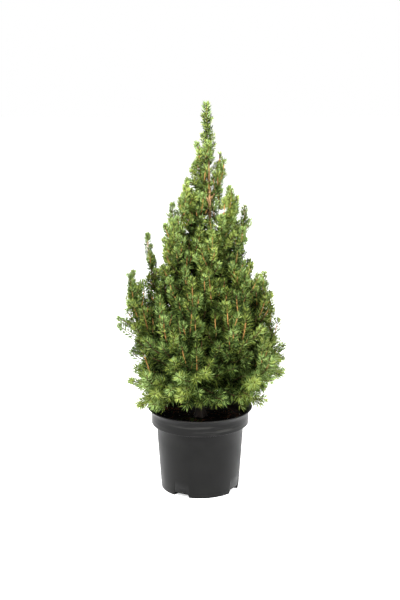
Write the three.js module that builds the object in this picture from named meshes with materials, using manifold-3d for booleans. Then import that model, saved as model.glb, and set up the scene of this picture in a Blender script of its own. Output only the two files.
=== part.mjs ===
// A dwarf Alberta spruce in a round nursery pot, about 0.7 m tall, as separate named solids.
// Millimetres, +Z up. The origin is the centre of the pot's flat underside.
//
// The plant is grown by rule: a trunk, boughs in tiers round it, and on each bough one mass of foliage.
// A mass is one stem with side shoots, all clothed in needles, and it keeps to its own space: the points
// that lie nearer to its own bough and stem than to any other.

import * as THREE from "three";
import { mergeVertices } from "three/addons/utils/BufferGeometryUtils.js";
import Module from "manifold-3d";

const wasm = await Module();
wasm.setup();

// ---------- Driving dimensions ----------

const GAP = 0.3; // running gap between solids that rest on each other

const POT = {
  height: 153,
  rimRadius: 95, // outer edge of the flared lip
  bandRadius: 88, // the upright band under the lip
  bandDepth: 30, // from the lip down to the ledge
  flareDepth: 11,
  wallTopRadius: 79.4,
  wallFootRadius: 71,
  footRound: 2,
  wall: 1.5,
  floor: 2,
  notches: 4,
  notchBearing: -119, // the first notch, as a compass angle from +X
  notchWidth: 28, // degrees at the foot
  notchTopWidth: 21,
  notchHeight: 8,
  notchDepth: 13, // how far it reaches in under the floor
  sides: 36,
};

const SOIL_TOP = POT.height - 20;

const TRUNK = {
  top: 606, // the leader, the trunk's own last shoot, stands on this
  lean: 20, // sideways, by the top of the tree
  sway: 9,
  footRadius: 8.5,
  topRadius: 1.6,
  flare: 6, // added at the ground by the root swellings
  flareHeight: 22,
  roots: 5,
};
const TREE_TOP = 706;

// How far out from the trunk the tips of side shoots may stand, from the pot's rim to the top: the height,
// the distance on the left (towards −X) and the distance on the right.
const OUTLINE = [
  [150, 108, 104],
  [200, 122, 146],
  [290, 136, 148],
  [350, 140, 128],
  [400, 118, 100],
  [430, 102, 68],
  [480, 78, 66],
  [520, 66, 64],
  [560, 44, 42],
  [600, 28, 28],
  [640, 20, 20],
];

// One row a tier, from the ground up. foot is a bough's height above the soil, reach its distance out from
// the trunk, tip the height of its tip, and bearing the compass angle of its first bough. upright runs from
// 0, shoots that lie outward, to 1, shoots that stand straight up. bare is the share of a bough with no needles.
const TIERS = [
  { name: "skirt", count: 7, foot: 44, reach: 120, tip: 240, bearing: 167, upright: 0.35, bare: 0.3, shoots: 5 },
  { name: "lower", count: 6, foot: 66, reach: 124, tip: 352, bearing: 6, upright: 0.75, bare: 0.3, shoots: 5 },
  { name: "middle", count: 5, foot: 110, reach: 90, tip: 418, bearing: 180, upright: 0.9, bare: 0.28, shoots: 5 },
  { name: "high", count: 5, foot: 182, reach: 72, tip: 502, bearing: 0, upright: 1, bare: 0.26, shoots: 4 },
  { name: "upper", count: 3, foot: 290, reach: 62, tip: 556, bearing: 180, upright: 1, bare: 0.2, shoots: 4 },
  { name: "crown", count: 2, foot: 392, reach: 20, tip: 606, bearing: 180, upright: 1, bare: 0.18, shoots: 2 },
];
// The few boughs that outgrow their tier, which give the crown its uneven sides.
const OUTGROWN = {
  skirt_1: { reach: 122, tip: 270 },
  skirt_3: { reach: 112, tip: 288 },
  skirt_4: { reach: 142, tip: 262 },
  skirt_5: { reach: 144, tip: 306 },
  lower_1: { reach: 114, tip: 398 },
  lower_4: { reach: 127, tip: 400 },
  middle_1: { reach: 96, tip: 468 },
  high_1: { reach: 72, tip: 520 },
  high_3: { reach: 66, tip: 518 },
  high_4: { reach: 66, tip: 502 },
  upper_1: { reach: 41, tip: 550 },
  crown_2: { reach: 25, tip: 602 },
};
// Single long shoots that stray beyond the rest. share is where along its bough each one leaves, and climb
// is its slope in degrees.
const STRAYS = [
  { mass: "lower_4", share: 0.47, bearing: 178, climb: 31, length: 74 },
  { mass: "lower_4", share: 0.6, bearing: 146, climb: 76, length: 70 },
  { mass: "high_4", share: 0.6, bearing: 186, climb: 70, length: 72 },
  { mass: "upper_2", share: 0.55, bearing: -8, climb: 60, length: 54 },
  { mass: "skirt_2", share: 0.6, bearing: 182, climb: 16, length: 66 },
  { mass: "skirt_2", share: 0.5, bearing: 198, climb: -22, length: 62 },
  { mass: "skirt_3", share: 0.42, bearing: 232, climb: -2, length: 58 },
  { mass: "skirt_3", share: 0.38, bearing: 316, climb: -4, length: 62 },
  { mass: "skirt_4", share: 0.62, bearing: -8, climb: -24, length: 48 },
  { mass: "skirt_4", share: 0.42, bearing: 300, climb: -6, length: 56 },
  { mass: "skirt_5", share: 0.5, bearing: 2, climb: -8, length: 64 },
  { mass: "skirt_5", share: 0.6, bearing: -14, climb: 8, length: 48 },
];
const SEED = 41;
const TURN_JITTER = 8; // degrees
const REACH_JITTER = 0.05; // share of the reach
const TIP_JITTER = 14;

const SHOOT = {
  longest: 100, // near the foot of a mass
  shorter: 62, // near its tip
  least: 24,
  spacing: 14, // least distance between the lines of two masses
  offTrunk: 11,
};
// Needles are larger than life, because each stands for several. Ridges run along a core, and each is toothed.
const PLUME = { core: 2.2, needle: 10, step: 11.7, ridges: 4 };
const STEM = { core: 17, needle: 9, step: 14.5, ridges: 6 };
const LEADER = { core: 3.2, needle: 11, step: 8, ridges: 6, shoots: 4, shoot: 28 };
const NEEDLE_LEAN = 0.95; // how far a needle leans forward, as a share of its reach
const GOLDEN_ANGLE = 2.39996;
const CLEARANCE = 1.2; // kept between two masses, and between a mass and a limb
const LOWEST = 14; // foliage over the pot stays this far above the rim

const UP = new THREE.Vector3(0, 0, 1);

// ---------- Helpers ----------

// A seeded generator of numbers from 0 to 1 (Park and Miller), so that every run grows the same tree.
function seeded(seed) {
  let state = seed * 7919 + 17;
  const next = () => {
    state = (state * 16807) % 2147483647;
    return state / 2147483647;
  };
  next();
  next();
  return next;
}

const either = (random, amount) => (2 * random() - 1) * amount;
const mix = (a, b, t) => a + (b - a) * t;
const radians = THREE.MathUtils.degToRad;

function bearing(angle) {
  return new THREE.Vector3(Math.cos(angle), Math.sin(angle), 0);
}

function solidOf(geometry) {
  const bare = geometry.clone();
  bare.deleteAttribute("normal");
  bare.deleteAttribute("uv");
  const merged = mergeVertices(bare, 1e-4);
  const mesh = new wasm.Mesh({
    numProp: 3,
    vertProperties: merged.attributes.position.array,
    triVerts: new Uint32Array(merged.index.array),
  });
  return new wasm.Manifold(mesh);
}

function geometryOf(solid) {
  const mesh = solid.getMesh();
  const geometry = new THREE.BufferGeometry();
  geometry.setAttribute("position", new THREE.BufferAttribute(mesh.vertProperties, 3));
  geometry.setIndex(new THREE.BufferAttribute(mesh.triVerts, 1));
  geometry.computeVertexNormals();
  return geometry;
}

// A closed skin over rings of points, all of the same count, with a point that closes each end.
function skin(rings, first, last, splitOther = () => false) {
  const sides = rings[0].length;
  const points = [first, ...rings.flat(), last];
  const at = (k, i) => 1 + k * sides + (i % sides);
  const faces = [];
  for (let i = 0; i < sides; i++) {
    faces.push(0, at(0, i + 1), at(0, i));
    faces.push(points.length - 1, at(rings.length - 1, i), at(rings.length - 1, i + 1));
  }
  for (let k = 0; k + 1 < rings.length; k++) {
    for (let i = 0; i < sides; i++) {
      const [a, b, c, d] = [at(k, i), at(k, i + 1), at(k + 1, i + 1), at(k + 1, i)];
      if (splitOther(k, i)) faces.push(a, b, d, b, c, d);
      else faces.push(a, b, c, a, c, d);
    }
  }
  const geometry = new THREE.BufferGeometry().setFromPoints(points);
  geometry.setIndex(faces);
  return geometry;
}

// A ring of points square to a direction, with the first one towards "side".
function ring(centre, along, side, sides, radiusAt, forwardAt = () => 0) {
  const x = side.clone().addScaledVector(along, -side.dot(along)).normalize();
  const y = along.clone().cross(x);
  return Array.from({ length: sides }, (_, i) => {
    const angle = (i / sides) * 2 * Math.PI;
    return centre
      .clone()
      .addScaledVector(x, Math.cos(angle) * radiusAt(i))
      .addScaledVector(y, Math.sin(angle) * radiusAt(i))
      .addScaledVector(along, forwardAt(i));
  });
}

function distanceToSegment(point, a, b) {
  return new THREE.Line3(a, b).closestPointToPoint(point, true, new THREE.Vector3()).distanceTo(point);
}

function distanceToPath(point, path) {
  let least = Infinity;
  for (let i = 0; i + 1 < path.length; i++) {
    least = Math.min(least, distanceToSegment(point, path[i], path[i + 1]));
  }
  return least;
}

// ---------- Pot and soil ----------

function potProfile() {
  const ledge = POT.height - POT.bandDepth;
  const flare = POT.height - POT.flareDepth;
  const inner = POT.wall;
  const outside = [
    [POT.wallFootRadius - POT.footRound, 0],
    [POT.wallFootRadius - POT.footRound * 0.3, POT.footRound * 0.3],
    [POT.wallFootRadius, POT.footRound],
    [POT.wallTopRadius, ledge],
    [POT.bandRadius - 0.8, ledge],
    [POT.bandRadius, ledge + 1],
    [POT.bandRadius, flare],
    [mix(POT.bandRadius, POT.rimRadius, 0.3), mix(flare, POT.height, 0.55)],
    [POT.rimRadius, POT.height - 1],
    [POT.rimRadius, POT.height],
  ];
  const inside = [
    [POT.rimRadius - inner, POT.height],
    [mix(POT.bandRadius, POT.rimRadius, 0.3) - inner, mix(flare, POT.height, 0.55) + 0.6],
    [POT.bandRadius - inner, flare],
    [POT.bandRadius - inner, ledge + inner + 1],
    [POT.wallTopRadius - inner, ledge + inner],
    [POT.wallFootRadius - inner, POT.floor],
    [0, POT.floor],
  ];
  return [[0, 0], ...outside, ...inside].map(([r, z]) => new THREE.Vector2(r, z));
}

function revolve(profile, sides) {
  return new THREE.LatheGeometry(profile, sides).rotateX(Math.PI / 2);
}

// The tool that cuts one drain notch out of the foot: a wedge that narrows upward.
function notchTool(angle) {
  const outer = POT.wallFootRadius + 6;
  const inner = POT.wallFootRadius - POT.notchDepth;
  const corners = [];
  for (const [z, width] of [[-1, POT.notchWidth], [POT.notchHeight, POT.notchTopWidth]]) {
    for (const [radius, side] of [[inner, -1], [outer, -1], [outer, 1], [inner, 1]]) {
      corners.push(bearing(angle + side * radians(width / 2)).multiplyScalar(radius).setZ(z));
    }
  }
  const [low, high] = [corners.slice(0, 4), corners.slice(4)];
  const centre = (points) => points.reduce((sum, p) => sum.add(p), new THREE.Vector3()).divideScalar(4);
  return solidOf(skin([low, high], centre(low), centre(high)));
}

function makePot() {
  let pot = solidOf(revolve(potProfile(), POT.sides));
  for (let i = 0; i < POT.notches; i++) {
    pot = pot.subtract(notchTool(radians(POT.notchBearing + (i * 360) / POT.notches)));
  }
  return pot;
}

// The root ball fills the pot: from the floor, in past the notches, up to a crumbly top.
function makeSoil() {
  const clear = POT.wall + GAP;
  const ledge = POT.height - POT.bandDepth;
  const low = POT.floor + GAP;
  const notchTop = POT.notchHeight + GAP;
  const profile = [
    [0, low],
    [POT.wallFootRadius - POT.notchDepth - GAP, low],
    [POT.wallFootRadius - clear - 0.5, notchTop],
    [POT.wallTopRadius - clear - 0.3, ledge - 2],
    [POT.wallTopRadius - clear - 0.3, ledge + POT.wall + 1.6],
    [POT.bandRadius - clear - 0.3, ledge + POT.wall + 2.4],
    [POT.bandRadius - clear - 0.3, SOIL_TOP - 2],
    [POT.bandRadius * 0.85, SOIL_TOP],
    [0, SOIL_TOP],
  ];
  return solidOf(revolve(profile.map(([r, z]) => new THREE.Vector2(r, z)), POT.sides));
}

// ---------- Trunk ----------

function trunkAxis(z) {
  const s = (z - SOIL_TOP) / (TREE_TOP - SOIL_TOP);
  const x = TRUNK.lean * s + TRUNK.sway * s * Math.sin(2 * Math.PI * (s - 0.28));
  const y = -TRUNK.sway * 0.5 * s * Math.sin(2 * Math.PI * s);
  return new THREE.Vector3(x, y, z);
}

function trunkRadius(z) {
  const s = THREE.MathUtils.clamp((z - SOIL_TOP) / (TRUNK.top - SOIL_TOP), 0, 1);
  return mix(TRUNK.footRadius, TRUNK.topRadius, s ** 0.85);
}

function flareAt(z, angle) {
  const near = Math.max(0, 1 - (z - SOIL_TOP) / TRUNK.flareHeight);
  return TRUNK.flare * near * near * (0.6 + 0.4 * Math.cos(TRUNK.roots * angle));
}

function makeTrunk(extra = 0) {
  const foot = SOIL_TOP + GAP;
  const heights = [0, 5, 11, 22];
  const steps = 15;
  for (let i = 1; i <= steps; i++) heights.push(mix(22, TRUNK.top - foot, i / steps));
  const sides = 10;
  const rings = heights.map((h) => {
    const centre = trunkAxis(foot + h);
    const radiusAt = (i) => trunkRadius(foot + h) + flareAt(foot + h, (i / sides) * 2 * Math.PI) + extra;
    return ring(centre, UP, new THREE.Vector3(1, 0, 0), sides, radiusAt);
  });
  return skin(rings, trunkAxis(foot), trunkAxis(TRUNK.top));
}

// ---------- Boughs ----------

// A bough's line, from the trunk's axis to the tip of its foliage.
function boughLine(foot, angle, reach, tip, upright) {
  const start = trunkAxis(foot);
  const out = bearing(angle);
  const rise = tip - foot;
  const along = (outShare, upShare) =>
    start.clone().addScaledVector(out, reach * outShare).addScaledVector(UP, rise * upShare);
  const elbow = mix(0.55, 0.42, upright);
  return new THREE.CubicBezierCurve3(start, along(elbow, 0.2), along(0.97, mix(0.45, 0.5, upright)), along(1, 1));
}

function planBoughs() {
  const plans = [];
  for (const tier of TIERS) {
    for (let k = 0; k < tier.count; k++) {
      const random = seeded(SEED + plans.length);
      const angle = radians(tier.bearing + (k * 360) / tier.count + either(random, TURN_JITTER));
      const label = `${tier.name}_${k + 1}`;
      const usual = {
        reach: tier.reach * (1 + either(random, REACH_JITTER)),
        tip: tier.tip + either(random, TIP_JITTER),
      };
      const { reach, tip } = { ...usual, ...OUTGROWN[label] };
      const foot = SOIL_TOP + tier.foot + ((k % 2) * 2 - 1) * 5 + either(random, 3);
      const line = boughLine(foot, angle, reach, tip, tier.upright);
      plans.push({
        label,
        tier,
        random,
        line,
        length: line.getLength(),
        out: bearing(angle),
        shoots: [],
        paths: [line.getSpacedPoints(14)],
        barePath: line.getSpacedPoints(14).slice(0, Math.round(14 * tier.bare) + 1),
      });
    }
  }
  return plans;
}

function boughRadius(plan, share) {
  const foot = mix(1.6, 3.6, Math.min(1, plan.length / 300));
  return mix(foot, 1.3, share);
}

function makeBough(plan, trunkRoom) {
  const sides = 4;
  const steps = 3;
  const end = plan.tier.bare - GAP / plan.length;
  const rings = [];
  for (let k = 0; k <= steps; k++) {
    const share = (end * k) / steps;
    const centre = plan.line.getPointAt(share);
    rings.push(ring(centre, plan.line.getTangentAt(share), UP, sides, () => boughRadius(plan, share)));
  }
  const limb = solidOf(skin(rings, plan.line.getPointAt(0), plan.line.getPointAt(end)));
  return limb.subtract(trunkRoom);
}

// ---------- Foliage ----------

// The outline's left and right distances at a height.
function outlineAt(z) {
  const above = OUTLINE.findIndex(([height]) => z < height);
  if (above === 0) return OUTLINE[0].slice(1);
  if (above < 0) return OUTLINE[OUTLINE.length - 1].slice(1);
  const [[low, ...lower], [high, ...upper]] = [OUTLINE[above - 1], OUTLINE[above]];
  return lower.map((distance, side) => mix(distance, upper[side], (z - low) / (high - low)));
}

function insideOutline(point) {
  const sideways = point.x - trunkAxis(point.z).x;
  const out = Math.hypot(sideways, point.y);
  const [left, right] = outlineAt(point.z);
  return out < mix(left, right, (1 + sideways / Math.max(out, 1e-6)) / 2);
}

// Whether a point is clear of the soil and of the pot's lip.
function clearOfPot(point) {
  const overPot = Math.hypot(point.x, point.y) < POT.rimRadius + CLEARANCE;
  return point.z > POT.height + (overPot ? LOWEST : 0);
}

// A side shoot's line: it leaves the stem to one side, and bends towards the way its tier grows.
function sideLine(plan, share, turn, length) {
  const stem = plan.line.getTangentAt(share);
  const start = plan.line.getPointAt(share);
  const x = plan.out.clone().addScaledVector(stem, -plan.out.dot(stem)).normalize();
  const y = stem.clone().cross(x);
  const sideways = x.multiplyScalar(Math.cos(turn)).addScaledVector(y, Math.sin(turn));
  const leave = stem.clone().multiplyScalar(0.5).addScaledVector(sideways, 0.86).normalize();
  const aim = leave
    .clone()
    .multiplyScalar(0.5)
    .addScaledVector(UP, mix(0.05, 1.9, plan.tier.upright))
    .addScaledVector(plan.out, mix(0.7, 0.1, plan.tier.upright))
    .normalize();
  const bend = start.clone().addScaledVector(leave, length * 0.4);
  return new THREE.QuadraticBezierCurve3(start, bend, bend.clone().addScaledVector(aim, length * 0.6));
}

// How much of a line may grow, from its start, as a share of its length: it stops at the crown's outline,
// at the pot, at the trunk, and where it comes close to another mass's line.
function growth(line, plan, plans) {
  const steps = 16;
  for (let i = 1; i <= steps; i++) {
    const point = line.getPointAt(i / steps);
    const offTrunk = distanceToPath(point, trunkPath) > SHOOT.offTrunk;
    const crowded = plans.some(
      (other) => other !== plan && other.paths.some((path) => distanceToPath(point, path) < SHOOT.spacing),
    );
    if (!insideOutline(point) || !offTrunk || crowded || !clearOfPot(point)) return (i - 1) / steps;
  }
  return 1;
}

function growStrays(plans) {
  for (const stray of STRAYS) {
    const plan = plans.find(({ label }) => label === stray.mass);
    const start = plan.line.getPointAt(stray.share);
    const [turn, climb] = [radians(stray.bearing), radians(stray.climb)];
    const aim = bearing(turn).multiplyScalar(Math.cos(climb)).setZ(Math.sin(climb));
    const line = new THREE.LineCurve3(start, start.clone().addScaledVector(aim, stray.length));
    plan.shoots.push({ line, grown: 1 });
    plan.paths.push(line.getSpacedPoints(6));
  }
}

// Every mass puts out its first shoot, then every mass its second, and so on, so that all get their share of room.
function growShoots(plans) {
  const most = Math.max(...TIERS.map((tier) => tier.shoots));
  for (let j = 0; j < most; j++) {
    for (const plan of plans) {
      const { bare, shoots } = plan.tier;
      if (j >= shoots) continue;
      const share = mix(bare, 0.9, (j + 0.2 + plan.random() * 0.4) / shoots);
      const turn = j * GOLDEN_ANGLE + either(plan.random, 0.5);
      const length = mix(SHOOT.longest, SHOOT.shorter, j / shoots) * mix(0.85, 1.1, plan.random());
      const line = sideLine(plan, share, turn, length);
      const grown = growth(line, plan, plans);
      if (grown * length < SHOOT.least) continue;
      plan.shoots.push({ line, grown });
      plan.paths.push(line.getSpacedPoints(10).slice(0, Math.max(2, Math.ceil(grown * 10) + 1)));
    }
  }
}

// A line clothed in needles: a core whose ridges are toothed, each tooth one needle that leans forward.
// allowed(point) says whether the mass may reach that point. fullness(t) is the core's share of its full
// radius, from root to tip. Where the space is too narrow the core draws in, and the needle is left out.
function clothe(curve, from, to, form, side, allowed, fullness = () => 1) {
  const steps = Math.max(3, Math.round((curve.getLength() * (to - from)) / form.step));
  const rings = [];
  for (let k = 0; k <= steps; k++) {
    const share = mix(from, to, (k / steps) * 0.97);
    const centre = curve.getPointAt(share);
    const along = curve.getTangentAt(share);
    const nearTip = Math.min(1, ((steps - k) / steps) * 3.2);
    const slim = PLUME.core * mix(0.5, 1, nearTip);
    const full = Math.max(slim, form.core * fullness(k / steps));
    const needle = k === 0 ? 0 : form.needle * mix(0.45, 1, nearTip);
    const at = (radius, forward) => ring(centre, along, side, form.ridges, () => radius, () => forward);
    const widths = [1, 0.75, 0.5, 0.25].map((share) => mix(slim, full, share));
    const cores = widths.map((width) => at(width, 0));
    const teeth = widths.map((width) => at(width + needle * 0.72, needle * NEEDLE_LEAN));
    rings.push(
      at(slim, 0).map((point, i) => {
        const toothed = (i + k) % 2 === 0 && needle > 0;
        const options = toothed ? [...teeth, ...cores].map((set) => set[i]) : cores.map((set) => set[i]);
        return options.find(allowed) ?? point;
      }),
    );
  }
  const tip = curve.getPointAt(to).addScaledVector(curve.getTangentAt(to), form.needle * 0.4);
  const split = (k, i) => (i + k) % 2 === 0;
  return solidOf(skin(rings, curve.getPointAt(from), tip, split));
}

// A mass is its stem, thick with needles towards the foot, and the side shoots that clear everything round it.
function makeMass(plan, allowed, neighbours) {
  const full = Math.min(1, plan.length / 180);
  const fullness = (t) => full * Math.min(1, 0.35 + t * 4) * THREE.MathUtils.clamp((0.92 - t) / 0.36, 0, 1);
  let mass = clothe(plan.line, plan.tier.bare, 1, STEM, plan.out, allowed, fullness);
  for (const { line, grown } of plan.shoots) {
    const plume = clothe(line, 0, grown, PLUME, plan.out, allowed);
    if (neighbours.every((solid) => plume.minGap(solid, 1) >= GAP)) mass = mass.add(plume);
  }
  return mass;
}

// The leader is the trunk's own last shoot, so its line runs on from the trunk's top.
function planLeader() {
  const line = new THREE.LineCurve3(trunkAxis(TRUNK.top + GAP), trunkAxis(TREE_TOP - LEADER.needle * 0.4));
  return { label: "leader", line, paths: [line.getSpacedPoints(4)] };
}

// Short side shoots stand round the leader's foot.
function makeLeader(leader, allowed) {
  let mass = clothe(leader.line, 0, 1, LEADER, bearing(0), allowed);
  for (let i = 0; i < LEADER.shoots; i++) {
    const start = leader.line.getPointAt(0.08 + (0.32 * i) / LEADER.shoots);
    const aim = bearing(i * GOLDEN_ANGLE).multiplyScalar(0.4).add(UP).normalize();
    const twig = new THREE.LineCurve3(start, start.clone().addScaledVector(aim, LEADER.shoot));
    mass = mass.add(clothe(twig, 0, 1, PLUME, bearing(0), allowed));
  }
  return mass;
}

// ---------- Assembly ----------

const MATERIALS = {
  pot: new THREE.MeshStandardMaterial({ color: "#343434", roughness: 0.5, metalness: 0 }),
  soil: new THREE.MeshStandardMaterial({ color: "#1d1612", roughness: 1, metalness: 0 }),
  bark: new THREE.MeshStandardMaterial({ color: "#8a5f3a", roughness: 0.9, metalness: 0 }),
  needles: new THREE.MeshStandardMaterial({ color: "#5f8a35", roughness: 0.6, metalness: 0 }),
};

const group = new THREE.Group();

function place(name, solid, material) {
  const mesh = new THREE.Mesh(geometryOf(solid), MATERIALS[material]);
  mesh.name = name;
  group.add(mesh);
}

// A point belongs to a mass when one of its lines is the nearest, and the point is clear of every limb.
function ownSpace(plan, everyMass) {
  const others = everyMass.filter((other) => other !== plan).flatMap((other) => other.paths);
  return (point) => {
    if (!clearOfPot(point)) return false;
    if (distanceToPath(point, trunkPath) < trunkRadius(point.z) + CLEARANCE) return false;
    if (plan.barePath && distanceToPath(point, plan.barePath) < boughRadius(plan, 0.5) + CLEARANCE) return false;
    const own = Math.min(...plan.paths.map((path) => distanceToPath(point, path)));
    return others.every((path) => distanceToPath(point, path) > own + CLEARANCE);
  };
}

const trunkPath = Array.from({ length: 30 }, (_, i) => trunkAxis(mix(SOIL_TOP, TRUNK.top, i / 29)));
const trunkRoom = solidOf(makeTrunk(GAP));
const leader = planLeader();
const plans = planBoughs();
growStrays(plans);
growShoots(plans);
const everyMass = [...plans, leader];

const trunk = solidOf(makeTrunk());
const limbs = plans.map((plan) => makeBough(plan, trunkRoom));
place("pot", makePot(), "pot");
place("soil", makeSoil(), "soil");
place("trunk", trunk, "bark");
plans.forEach((plan, i) => place(`bough_${plan.label}`, limbs[i], "bark"));

const masses = [];
for (const plan of everyMass) {
  const allowed = ownSpace(plan, everyMass);
  const mass = plan === leader ? makeLeader(leader, allowed) : makeMass(plan, allowed, [trunk, ...limbs, ...masses]);
  masses.push(mass);
  place(`foliage_${plan.label}`, mass, "needles");
}

export default group;
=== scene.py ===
"""A dwarf spruce in a round nursery pot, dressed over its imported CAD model.

The plant grows by the same rule as the CAD solids: a trunk, boughs in tiers round it, and one mass of
foliage on each bough. Here every shoot goes on to finer twigs, and they all carry needles of real size.
Growth is worked out in millimetres, and MM turns it into metres when a mesh is made.
"""

import math

import bpy
import numpy as np
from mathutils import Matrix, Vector, noise


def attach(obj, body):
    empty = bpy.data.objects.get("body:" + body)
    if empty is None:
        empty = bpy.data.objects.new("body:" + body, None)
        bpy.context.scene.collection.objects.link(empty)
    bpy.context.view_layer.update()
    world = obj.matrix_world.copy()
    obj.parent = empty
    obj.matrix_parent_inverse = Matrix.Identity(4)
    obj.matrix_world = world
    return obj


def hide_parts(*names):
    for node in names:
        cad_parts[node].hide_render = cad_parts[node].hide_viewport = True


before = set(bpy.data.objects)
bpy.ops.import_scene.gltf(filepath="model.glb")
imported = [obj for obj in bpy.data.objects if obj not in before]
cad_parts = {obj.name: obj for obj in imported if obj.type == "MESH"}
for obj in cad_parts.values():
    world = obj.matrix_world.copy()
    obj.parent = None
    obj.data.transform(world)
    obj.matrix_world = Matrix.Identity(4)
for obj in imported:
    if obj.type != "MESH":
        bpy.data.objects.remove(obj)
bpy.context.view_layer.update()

MM = 0.001

# ---------- Driving dimensions, the same as the CAD part's ----------

POT = {
    "height": 153, "rim_radius": 95, "band_radius": 88, "band_depth": 30, "flare_depth": 11,
    "wall_top_radius": 79.4, "wall_foot_radius": 71, "foot_round": 2, "wall": 1.5, "floor": 2,
    "notches": 4, "notch_bearing": -119, "notch_width": 28, "notch_top_width": 21, "notch_height": 8,
    "notch_depth": 13,
}
SOIL_TOP = POT["height"] - 20

TRUNK = {
    "top": 606, "lean": 20, "sway": 9, "foot_radius": 8.5, "top_radius": 1.6, "flare": 6,
    "flare_height": 22, "roots": 5,
}
TREE_TOP = 706

# How far out from the trunk the tips of side shoots may stand: height, distance on the left, on the right.
OUTLINE = [
    (150, 108, 104),
    (200, 122, 146),
    (290, 136, 148),
    (350, 140, 128),
    (400, 118, 100),
    (430, 102, 68),
    (480, 78, 66),
    (520, 66, 64),
    (560, 44, 42),
    (600, 28, 28),
    (640, 20, 20),
]

# name, count, foot above the soil, reach, tip height, first bearing, upright, bare share, side shoots
TIERS = [
    ("skirt", 7, 44, 120, 240, 167, 0.35, 0.3, 5),
    ("lower", 6, 66, 124, 352, 6, 0.75, 0.3, 5),
    ("middle", 5, 110, 90, 418, 180, 0.9, 0.28, 5),
    ("high", 5, 182, 72, 502, 0, 1, 0.26, 4),
    ("upper", 3, 290, 62, 556, 180, 1, 0.2, 4),
    ("crown", 2, 392, 20, 606, 180, 1, 0.18, 2),
]
# The boughs that outgrow their tier: reach and tip height.
OUTGROWN = {
    "skirt_1": (122, 270),
    "skirt_3": (112, 288),
    "skirt_4": (142, 262),
    "skirt_5": (144, 306),
    "lower_1": (114, 398),
    "lower_4": (127, 400),
    "middle_1": (96, 468),
    "high_1": (72, 520),
    "high_3": (66, 518),
    "high_4": (66, 502),
    "upper_1": (41, 550),
    "crown_2": (25, 602),
}
# Single long shoots that stray beyond the rest, by mass: share along its bough, bearing, climb, length.
STRAYS = {
    "skirt_2": [(0.6, 182, 16, 66), (0.5, 198, -22, 62)],
    "skirt_3": [(0.42, 232, -2, 58), (0.38, 316, -4, 62)],
    "skirt_4": [(0.62, -8, -24, 48), (0.42, 300, -6, 56)],
    "skirt_5": [(0.5, 2, -8, 64), (0.6, -14, 8, 48)],
    "lower_4": [(0.47, 178, 31, 74), (0.6, 146, 76, 70)],
    "high_4": [(0.6, 186, 70, 72)],
    "upper_2": [(0.55, -8, 60, 54)],
}
SEED = 41
TURN_JITTER = 8
REACH_JITTER = 0.05
TIP_JITTER = 14
SHOOT = {"longest": 100, "shorter": 62, "least": 24, "spacing": 14, "off_trunk": 11}
# The trunk's last shoot: how far it starts below the trunk's top and ends below the tree's, its needles, the
# height under which it is nearly bare, and its short side shoots.
LEADER = {
    "below_trunk_top": 110, "under_tree_top": 6, "lush": 2.4, "longer": 1.25, "closing": 0.4,
    "tone": 0.52, "bare_below": 590, "bare_lush": 0.5, "first_side": 22, "last_side": 6,
    "side_spacing": 6.5, "side_lush": 1.4, "side_longer": 1.1,
}
GOLDEN_ANGLE = 2.39996
CLEARANCE = 1.2
LOWEST = 14
NEEDLES_LOWEST = 16
TRUNK_SHOWS = {"from": 505, "to": 592, "half_width": 5, "kept": 0.2}

# ---------- Looks that go beyond the CAD ----------

# The habit of the crown from its foot to its top, at these heights. Low twigs hang and spread their
# long needles; higher up they turn upwards, and the needles are shorter and closer.
HEIGHTS = (170, 215, 290, 400, 520, 650)
NEEDLE_LENGTH = (17, 16, 13, 11, 9.5, 9)
NEEDLE_ANGLE = (64, 62, 58, 55, 56, 56)
NEEDLES_PER_MM = (1.75, 1.7, 1.6, 1.5, 1.35, 1.4)
NEEDLE_RADIUS = (0.78, 0.8, 0.85, 0.88, 0.88, 0.86)
CLOSING = (0.3, 0.35, 0.45, 0.45, 0.35, 0.35)  # how far the needles at a tip fold forward
TWIG_LIFT = (-0.7, 0.1, 1.8, 2.0, 1.6, 1.2)
TWIG_OUT = (0.7, 0.4, 0.1, 0, 0, 0)
TWIG_SPACING = (7.5, 8, 9, 9, 8.5, 8)
LONGEST_TWIG = (45, 50, 66, 60, 40, 30)
KNOBBLY = (0.15, 0.15, 0.12, 0.4, 0.9, 1)
MOST_NEEDLES = 32000  # about as many go into one joined piece, before they are thinned
# Half the thickness of a stem at its foot, by kind.
STEM = {"bough": 1.45, "side": 1.35, "young": 1.31, "leader": 1.3, "inner": 0.8, "bud": 0.45}
LEADER_SIDE_STEM = 0.55
STEM_TAPER = 0.55

TWIG = {
    "first": 6,  # under a shoot's tip
    "last": 3,  # over its foot
    "bud": 8,  # the shortest, just under a shoot's tip
    "growth": 0.7,  # longer by this share of the distance down from the tip
    "unbranched": 50,  # a shoot's newest length carries only a few buds
    "least": 6,
    "off_trunk": 5,
    "radius": (0.5, 1.25),  # of the shortest, and of one as long as thick_at
    "thick_at": 50,
}
UNEVEN = (0.75, 1.25)  # spacings vary between these shares
BUD = {"spacing": 11, "least": 6, "most": 12, "under_tip": 9}
TUFT = {"depth": 10, "needles": 9, "spread": 18}  # the close brush of needles round a tip
FULL_TUFT = 14  # about as many needles as a thick shoot has in it
# Places where the crown stands open from front to back: x, height level with the trunk, half width, half
# height. They rise towards the front by BAY_RISE.
BAY_RISE = 0.24
BAYS = [
    (-72, 434, 10, 28),
    (39, 560, 5, 7),
    (39, 510, 10, 9),
    (29, 481, 6, 10),
    (28, 607, 7, 12),
    (-100, 398, 9, 14),
    (-131, 378, 7, 22),
    (-118, 283, 8, 12),
    (88, 452, 9, 20),
    (97, 404, 4, 9),
    (124, 182, 12, 12),
    (-3, 159, 8, 9),
    (-109, 241, 12, 10),
    (45, 590, 5, 10),
    (70, 507, 5, 13),
]
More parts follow.
